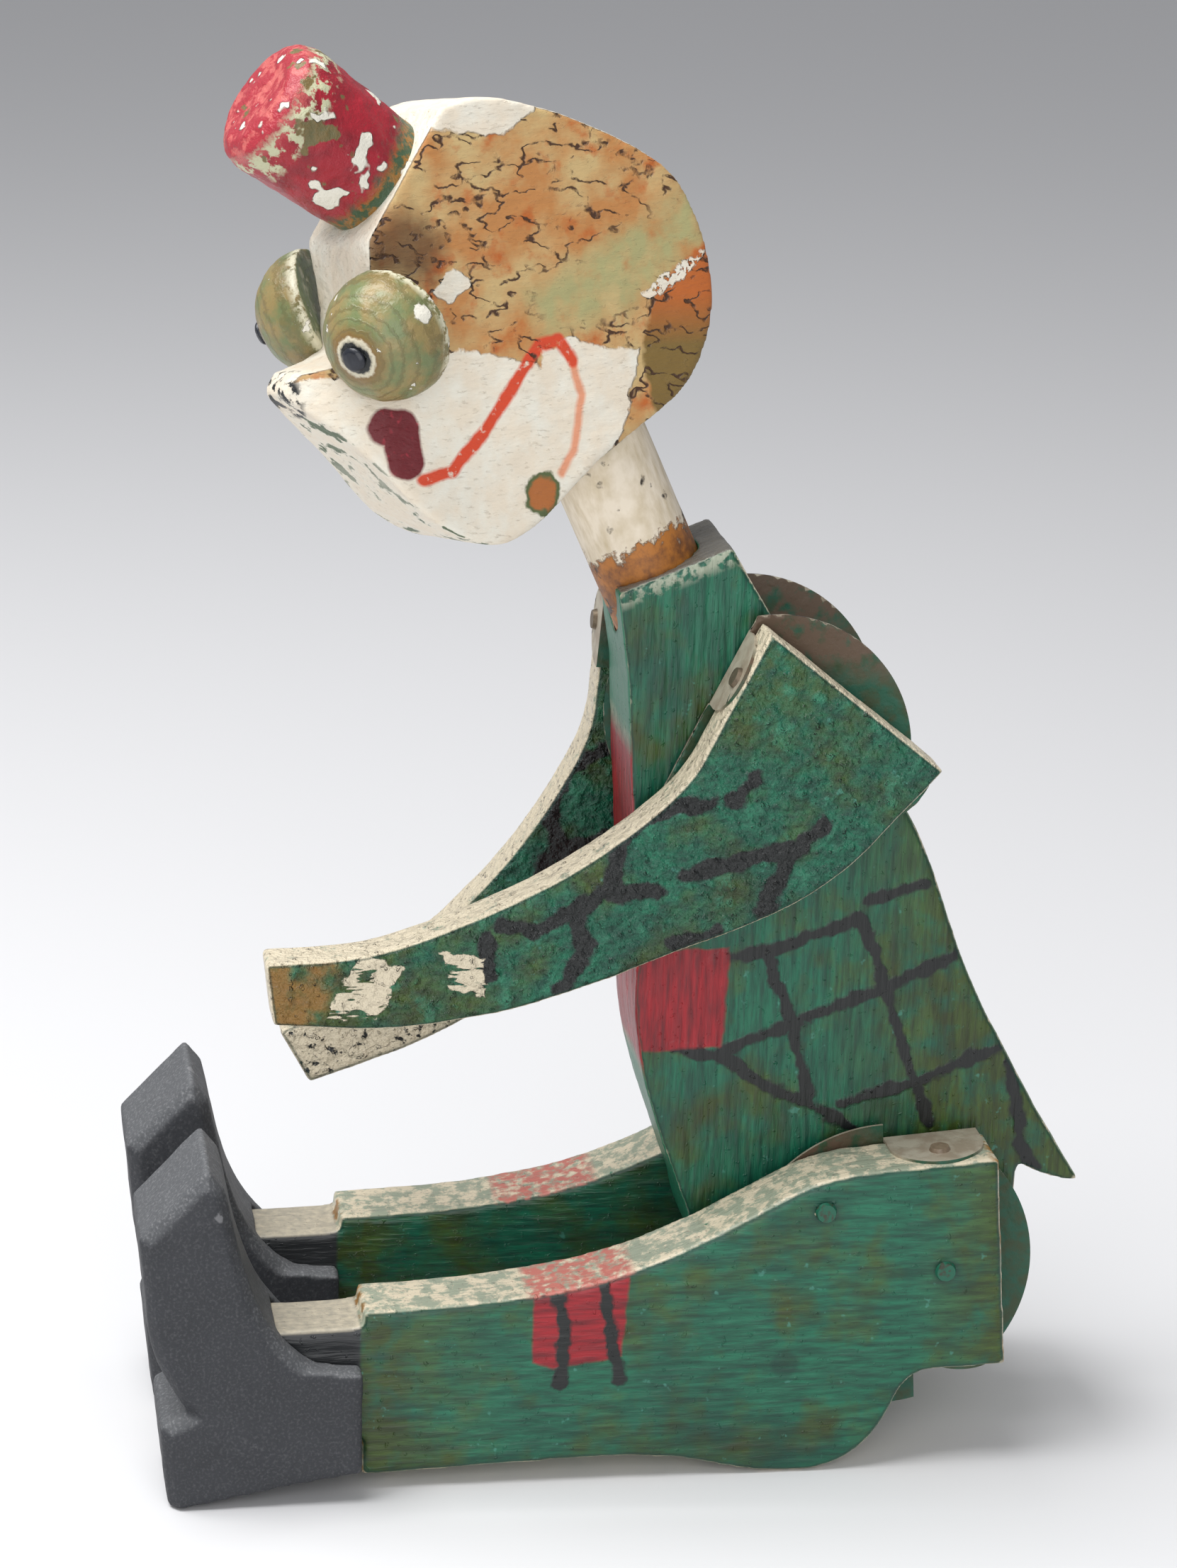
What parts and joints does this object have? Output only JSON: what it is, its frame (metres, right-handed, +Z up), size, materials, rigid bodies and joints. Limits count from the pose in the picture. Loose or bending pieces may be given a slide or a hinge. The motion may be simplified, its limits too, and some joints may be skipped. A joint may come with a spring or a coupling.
{
  "type": "jointed wooden figure",
  "caption": "Sitting flat-board wooden figure with tin-plate shoulder and hip joints, a turning dowel neck, a drum hat and ball eyes.",
  "frame": {"origin": "middle of the underside of the box round the whole sitting figure", "axes": "+Z up, the figure faces -Y and +X is its own left"},
  "size_m": [0.0482, 0.1172, 0.1719],
  "materials": {
    "coat_green": "brushed green paint with black lines, worn to wood on the edges",
    "head_paint": "crackled orange-brown paint with an ivory muzzle",
    "neck_ivory": "chipped ivory paint",
    "hat_red": "chipped crimson paint",
    "eye_olive": "chipped olive paint",
    "pupil_black": "black",
    "shoe_black": "matt charcoal paint",
    "tin_plate": "dull tin with rust",
    "nail_steel": "dull steel",
    "pin_steel": "plain steel"
  },
  "bodies": {
    "trunk": {"torso": "coat_green", "shoulder_pin": "pin_steel", "hip_pin": "pin_steel"},
    "head_and_neck": {"neck": "neck_ivory", "head": "head_paint", "hat": "hat_red", "eye_left": "eye_olive", "eye_right": "eye_olive", "pupil_left": "pupil_black", "pupil_right": "pupil_black"},
    "left_arm": {"arm_left": "coat_green", "shoulder_plate_left": "tin_plate", "arm_nails_left": "nail_steel"},
    "right_arm": {"arm_right": "coat_green", "shoulder_plate_right": "tin_plate", "arm_nails_right": "nail_steel"},
    "left_leg": {"leg_left": "coat_green", "shoe_left": "shoe_black", "hip_plate_left": "tin_plate", "leg_nails_left": "nail_steel"},
    "right_leg": {"leg_right": "coat_green", "shoe_right": "shoe_black", "hip_plate_right": "tin_plate", "leg_nails_right": "nail_steel"}
  },
  "joints": [
    {"name": "neck_turn", "type": "hinge", "parent": "trunk", "child": "head_and_neck", "pos_m": [-0.00097, -0.00042, 0.11651], "axis": [0, -0.4131, 0.9107], "range_deg": [-67, 23]},
    {"name": "left_shoulder", "type": "hinge", "parent": "trunk", "child": "left_arm", "pos_m": [0.00803, 0.01663, 0.08911], "axis": [1, 0, 0], "range_deg": [-45, 30]},
    {"name": "right_shoulder", "type": "hinge", "parent": "trunk", "child": "right_arm", "pos_m": [-0.00997, 0.01663, 0.08911], "axis": [1, 0, 0], "range_deg": [-67, 8]},
    {"name": "left_hip", "type": "hinge", "parent": "trunk", "child": "left_leg", "pos_m": [0.00803, 0.03373, 0.02291], "axis": [1, 0, 0], "range_deg": [-5, 92]},
    {"name": "right_hip", "type": "hinge", "parent": "trunk", "child": "right_leg", "pos_m": [-0.00997, 0.03373, 0.02291], "axis": [1, 0, 0], "range_deg": [-5, 92]}
  ]
}
